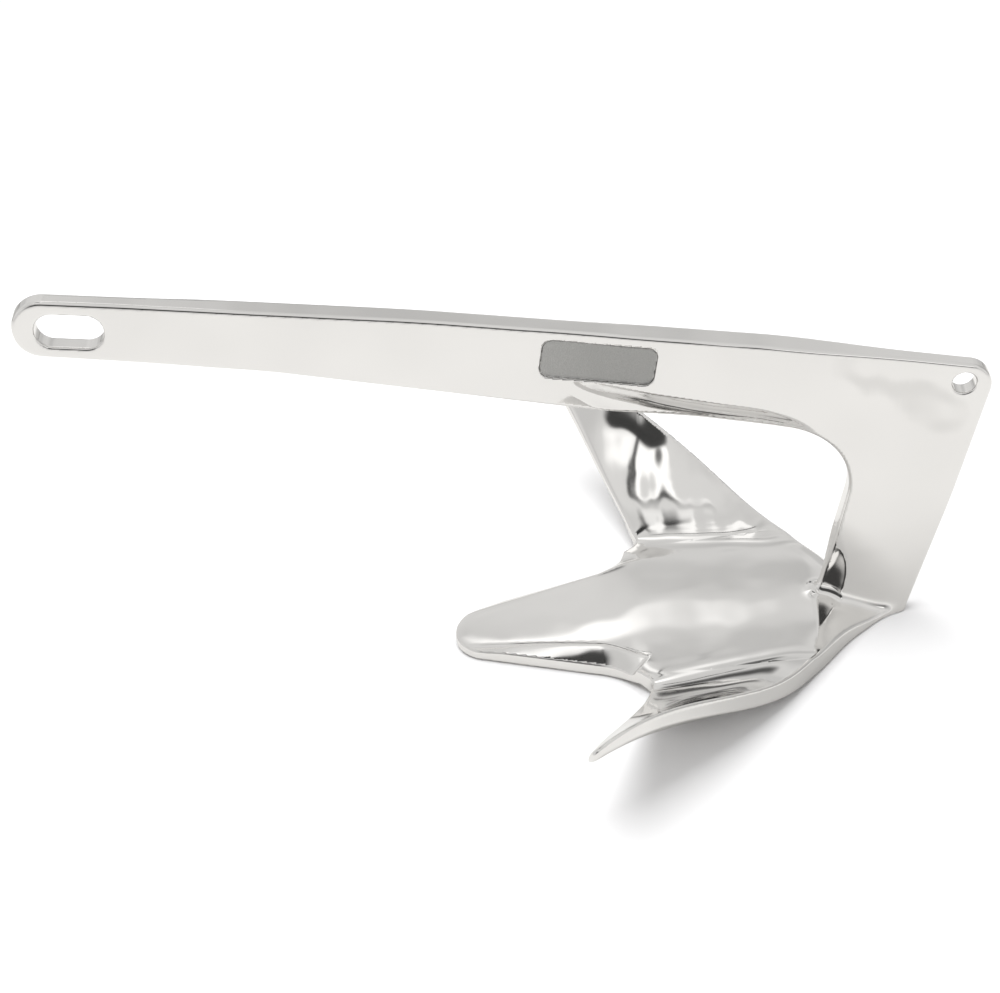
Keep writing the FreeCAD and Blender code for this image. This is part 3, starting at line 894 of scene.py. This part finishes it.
@dataclass
class Casting:
    """The whole anchor, one casting of shank and claw.

    Attributes:
        shank: The flat shank.
        claw: The three flukes.
        fillet: Width of the soft fillet where they join.
        foot_edge: Radius that rounds the edges on the ground.
        blocks: Boxes round the shank and the claw, as low and high corners.
    """

    shank: Shank = Shank()
    claw: Claw = Claw()
    fillet: float = 8.0
    foot_edge: float = 0.5
    blocks: tuple[Block, ...] = (
        ((-162.0, -6.5, -1.5), (162.0, 6.5, 159.0)),
        ((-31.0, -112.0, -1.5), (132.0, 112.0, 46.5)),
    )

    def distance(self, x: Array, y: Array, z: Array) -> Array:
        """Signed distance to the casting: both halves with a fillet, flat on the ground."""
        joined = soft_low(self.shank.distance(x, y, z), self.claw.distance(x, y, z), self.fillet)
        return round_meet(joined, -z, self.foot_edge)

    def build(self) -> bpy.types.Object:
        """Mesh the casting and dress it.

        Returns:
            The object, at the origin, with its place in its mesh.
        """
        surface = FieldSurface(self.distance, GradedGrid(), self.blocks)
        surface.build()
        surface.settle()
        log.info("casting: %d points, %d quads", len(surface.points), len(surface.quads))
        mesh = bpy.data.meshes.new("claw_anchor_casting")
        mesh.from_pydata((surface.points * MM).tolist(), [], surface.quads.tolist())
        mesh.update()
        mesh.shade_smooth()
        mesh.normals_split_custom_set_from_vertices(surface.normals().tolist())
        piece = bpy.data.objects.new("claw_anchor_casting", mesh)
        bpy.context.scene.collection.objects.link(piece)
        mesh.materials.append(PolishedStainless(self.shank.panel).material())
        return piece


# Camera, floor and light


@dataclass(frozen=True)
class Viewpoint:
    """Camera that sees the anchor as the photograph does.

    Attributes:
        place: Where it stands, in millimetres.
        azimuth: Its heading from +Y towards +X, in degrees.
        elevation: How far it looks down, in degrees.
        roll: Its turn about its own axis, in degrees.
        focal: Focal length for a sensor 36 mm wide.
    """

    place: tuple[float, float, float] = (12.868, -663.404, 553.114)
    azimuth: float = -1.802
    elevation: float = 36.465
    roll: float = -5.6
    focal: float = 86.41

    def build(self) -> None:
        """Add the camera to the scene and look through it."""
        heading, fall, turn = (math.radians(v) for v in (self.azimuth, self.elevation, self.roll))
        level = Vector((math.cos(heading), -math.sin(heading), 0.0))
        forward = Vector((math.sin(heading), math.cos(heading), 0.0))
        ahead = forward * math.cos(fall) - Vector((0.0, 0.0, math.sin(fall)))
        upright = level.cross(ahead)
        right = level * math.cos(turn) + upright * math.sin(turn)
        above = upright * math.cos(turn) - level * math.sin(turn)
        data = bpy.data.cameras.new("camera")
        data.lens = self.focal
        data.sensor_width = 36.0
        data.sensor_fit = "HORIZONTAL"
        data.clip_start = 0.01
        eye = bpy.data.objects.new("camera", data)
        bpy.context.scene.collection.objects.link(eye)
        turned = Matrix((right, above, -ahead)).transposed().to_4x4()
        eye.matrix_world = Matrix.Translation(Vector(self.place) * MM) @ turned
        bpy.context.scene.camera = eye


@dataclass(frozen=True)
class Panel:
    """Soft edged patch of light or dark in the surroundings that the polish mirrors.

    Attributes:
        centre: Direction of its middle.
        width: Half its width, along the horizon.
        height: Half its height.
        tone: Brightness inside it.
        soft: Share of its size over which its edge fades.
        turn: Its turn about its middle, in degrees.
    """

    centre: tuple[float, float, float]
    width: float
    height: float
    tone: float
    soft: float = 0.35
    turn: float = 0.0

    def over(self, tone: Socket, way: Socket) -> Socket:
        """Lay the patch over what is there.

        Formula: the direction's components along the horizon and along the steepest way up from
        the patch's middle, each over its half size, give a rounded box's distance, which fades
        from the patch's tone to the tone below it.

        Args:
            tone: Brightness without the patch.
            way: Direction that is looked up.

        Returns:
            Brightness with it.
        """
        middle = Vector(self.centre).normalized()
        level = Vector((-middle.y, middle.x, 0.0)).normalized()
        level = Matrix.Rotation(math.radians(self.turn), 3, middle) @ level
        across, up, facing = (
            way.book.node(
                "ShaderNodeVectorMath", {"operation": "DOT_PRODUCT"}, [way, tuple(axis)], "Value")
            for axis in (level / self.width, middle.cross(level) / self.height, middle))
        across, up = across * across, up * up
        reach = (across * across + up * up) ** 0.25
        inside = (1.0 - reach.eased(1.0 - self.soft, 1.0 + self.soft)) * facing.eased(0.0, 0.2)
        return tone + (self.tone - tone) * inside


@dataclass(frozen=True)
class Studio:
    """White table in a studio of pale and dark patches, under one soft lamp.

    Attributes:
        floor_size: Width of the floor, in metres.
        room_tone: Brightness of the room where it has no patch, and how much clouds add to it.
        cloud_size: Scale of those clouds.
        drift_size: Scale of the noise that makes the patches' edges uneven.
        drift: How far that noise moves a direction.
        painted_far_shade: Where along Y the far side of the table is painted darker in the tone
            that the polish mirrors.
        blank_from: Distance at which the table fades to plain white for the camera.
        patches: What the polish mirrors besides the floor, from the back of the room forwards.
    """

    floor_size: float = 3.0
    room_tone: tuple[float, float] = (0.56, 0.36)
    cloud_size: float = 2.6
    drift_size: float = 7.0
    drift: float = 0.04
    painted_far_shade: tuple[float, float] = (0.22, 0.34)
    blank_from: tuple[float, float] = (0.35, 0.75)
    patches: tuple[Panel, ...] = (
        Panel((0.0, 1.0, 0.05), 1.4, 0.14, 0.62, 0.5),  # wall behind the table
        Panel((0.0, 0.96, 0.26), 0.06, 0.09, 0.10, 0.6),  # dark gap in the middle of it
        Panel((0.14, 0.84, 0.53), 0.15, 0.09, 0.58, 0.9),  # grey card high on its right
        Panel((-0.04, 0.885, 0.46), 0.055, 0.015, 0.2, 0.4, 45.0),  # small dark bar
        Panel((-0.13, 0.69, 0.71), 0.15, 0.055, 1.4, 0.8),  # bright card high on its left
        Panel((0.09, 0.58, 0.81), 0.07, 0.05, 0.6, 0.9),  # grey card above the middle
        Panel((-0.055, 0.3, 0.95), 0.02, 0.3, 1.2, 0.4, -18.0),  # bright bar overhead
        Panel((-0.115, 0.2, 0.97), 0.016, 0.25, 0.3, 0.5, -35.0),  # grey bar beside it
        Panel((-0.02, 0.56, 0.83), 0.05, 0.01, 0.08, 0.6),  # thin dark bar across
        Panel((-0.2, 0.34, 0.92), 0.05, 0.18, 0.04, 0.4),  # dark bar left of them
        Panel((-0.2, -0.2, 0.95), 0.2, 0.36, 0.8, 0.3),  # pale ceiling on the near left
        Panel((-0.37, -0.31, 0.87), 0.06, 0.1, 1.25, 0.7),  # bright card on the left
        Panel((-0.215, -0.27, 0.94), 0.03, 0.26, 1.35, 0.5, 16.0),  # long bright bar, near side
        Panel((-0.25, -0.24, 0.94), 0.02, 0.28, 0.08, 0.6, 16.0),  # long dark bar beside it
        Panel((-0.7, -0.2, 0.66), 0.2, 0.16, 0.65, 0.7),  # grey wall on the left
        Panel((-0.35, -0.45, 0.82), 0.27, 0.055, 0.05, 0.3, 28.0),  # dark beam on the near left
        Panel((-0.05, -0.88, 0.47), 0.55, 0.29, 0.06, 0.4),  # dark room on the near side
        Panel((0.42, -0.7, 0.57), 0.14, 0.13, 1.2, 0.3),  # bright card on the near right
        Panel((0.85, 0.45, 0.3), 0.35, 0.3, 0.45, 0.6),  # grey wall on the right
    )

    @staticmethod
    def pool(
        x: Socket, y: Socket, middle: tuple[float, float], sizes: tuple[float, float],
        heading: float,
    ) -> Socket:
        """Soft oval on the table, a mask for painted shade: 1 in its middle, 0 outside.

        Args:
            x: Place along X, in metres.
            y: Place along Y.
            middle: Its middle.
            sizes: Half its length and half its width.
            heading: Angle between its length and X, in degrees.

        Returns:
            The oval's strength at that place.
        """
        cos, sin = cos_sin(heading)
        dx, dy = x - middle[0], y - middle[1]
        along = (dx * cos + dy * sin).size() / sizes[0]
        across = (dx * sin - dy * cos).size() / sizes[1]
        return 1.0 - (along ** 2.0 + across ** 2.0).eased(0.0, 1.6)

    def floor(self) -> None:
        """Lay a pale table that shows as white and keeps the anchor's shadow."""
        half = self.floor_size / 2
        mesh = bpy.data.meshes.new("floor")
        corners = [(-half, -half, 0), (half, -half, 0), (half, half, 0), (-half, half, 0)]
        mesh.from_pydata(corners, [], [(0, 1, 2, 3)])
        sheet = bpy.data.objects.new("floor", mesh)
        bpy.context.scene.collection.objects.link(sheet)
        made = bpy.data.materials.new("floor_white")
        made.use_nodes = True
        book = NodeBook(made.node_tree)
        place = book.node("ShaderNodeTexCoord", None, None, "Object")
        x, y = (book.node("ShaderNodeSeparateXYZ", None, [place], axis) for axis in ("X", "Y"))
        # Painted reflection: a soft dark oval in the tone that the polish mirrors, seen as a dark
        # smudge on the near face by the crown
        painted_dark_reflection = self.pool(x, y, (0.157, -0.144), (0.034, 0.009), 75.0)
        # Painted shadow: a soft dark oval beside the claw's heel in the tone that the polish
        # mirrors, which darkens the band along the near wing's trailing rim
        shadow = self.pool(x, y, (0.100, -0.052), (0.045, 0.022), 60.0)
        # Painted shade: the tone that the polish mirrors gets darker towards the far side of the
        # table and inside both ovals
        shade = 1.0 - y.eased(*self.painted_far_shade) * 0.4
        shade = shade * (1.0 - painted_dark_reflection * 0.14) * (1.0 - shadow * 0.3)
        # The mirrored tone is a grey below the camera's white, with the painted shade in it, so the
        # painted shade shows only in the polish
        mirrored = book.ramp(shade, ((0.0, (0.0, 0.0, 0.0)), (1.0, (0.77, 0.765, 0.755))))
        seen = book.node("ShaderNodeLightPath", None, None, "Is Camera Ray")
        tone = book.node("ShaderNodeMix", {"data_type": "RGBA"}, {
            0: seen, 6: mirrored, 7: (0.97, 0.97, 0.98, 1.0)}, 2)
        paper = book.node("ShaderNodeBsdfPrincipled", None, {
            "Base Color": tone, "Roughness": 0.9, "Specular IOR Level": 0.0}, 0)
        blank = book.node(
            "ShaderNodeEmission", None, {"Color": (1.0, 1.0, 1.0, 1.0), "Strength": 1.0}, 0)
        far = ((x * x + y * y) ** 0.5).eased(*self.blank_from) * seen
        table = book.node("ShaderNodeMixShader", None, [far, paper, blank], 0)
        book.finish("ShaderNodeOutputMaterial", table)
        mesh.materials.append(made)

    def world(self) -> None:
        """Surround the table with what the polish mirrors; the camera itself sees plain white."""
        made = bpy.data.worlds.new("room")
        made.use_nodes = True
        bpy.context.scene.world = made
        book = NodeBook(made.node_tree)
        way = book.node("ShaderNodeTexCoord", None, None, "Generated")
        noise = book.node(
            "ShaderNodeTexNoise", None, {"Vector": way, "Scale": self.drift_size, "Detail": 2.0},
            "Color")
        noise = book.node(
            "ShaderNodeVectorMath", {"operation": "SUBTRACT"}, [noise, (0.5, 0.5, 0.5)], 0)
        bent = book.node(
            "ShaderNodeVectorMath", {"operation": "MULTIPLY_ADD"},
            [noise, (self.drift, self.drift, self.drift), way], 0)
        cloud = book.node(
            "ShaderNodeTexNoise", None, {"Vector": way, "Scale": self.cloud_size, "Detail": 1.5}, 0)
        plain, clouded = self.room_tone
        tone = plain + cloud * clouded
        for patch in self.patches:
            tone = patch.over(tone, bent)
        seen = book.node("ShaderNodeLightPath", None, None, "Is Camera Ray")
        shown = tone * (1.0 - seen) + seen
        light = book.node(
            "ShaderNodeBackground", None, {"Color": (1.0, 0.995, 0.985, 1.0), "Strength": shown}, 0)
        book.finish("ShaderNodeOutputWorld", light)

    def lamp(self, name: str, place: tuple[float, float, float], size: float, power: float) -> None:
        """Hang one soft square lamp that points at the anchor."""
        data = bpy.data.lights.new(name, "AREA")
        data.size = size
        data.energy = power
        lamp = bpy.data.objects.new(name, data)
        lamp.visible_glossy = False
        bpy.context.scene.collection.objects.link(lamp)
        aim = Vector((0.0, 0.0, 0.05)) - Vector(place)
        turned = aim.to_track_quat("-Z", "Y").to_matrix().to_4x4()
        lamp.matrix_world = Matrix.Translation(place) @ turned

    def build(self) -> None:
        """Set up floor, room and lamp."""
        self.floor()
        self.world()
        self.lamp("top_soft", (-0.08, 0.1, 1.25), 1.0, 12.5)


def main() -> None:
    """Build the anchor, its stage and its camera."""
    logging.basicConfig(level=logging.INFO)
    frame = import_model()
    casting = Casting().build()
    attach(casting, "root")
    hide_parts("claw_anchor")
    log.info("dressed %s of %s", casting.name, sorted(frame["nodes"]))
    Studio().build()
    Viewpoint().build()
    view = bpy.context.scene.view_settings
    view.view_transform = "Standard"


if __name__ == "__main__":
    main()
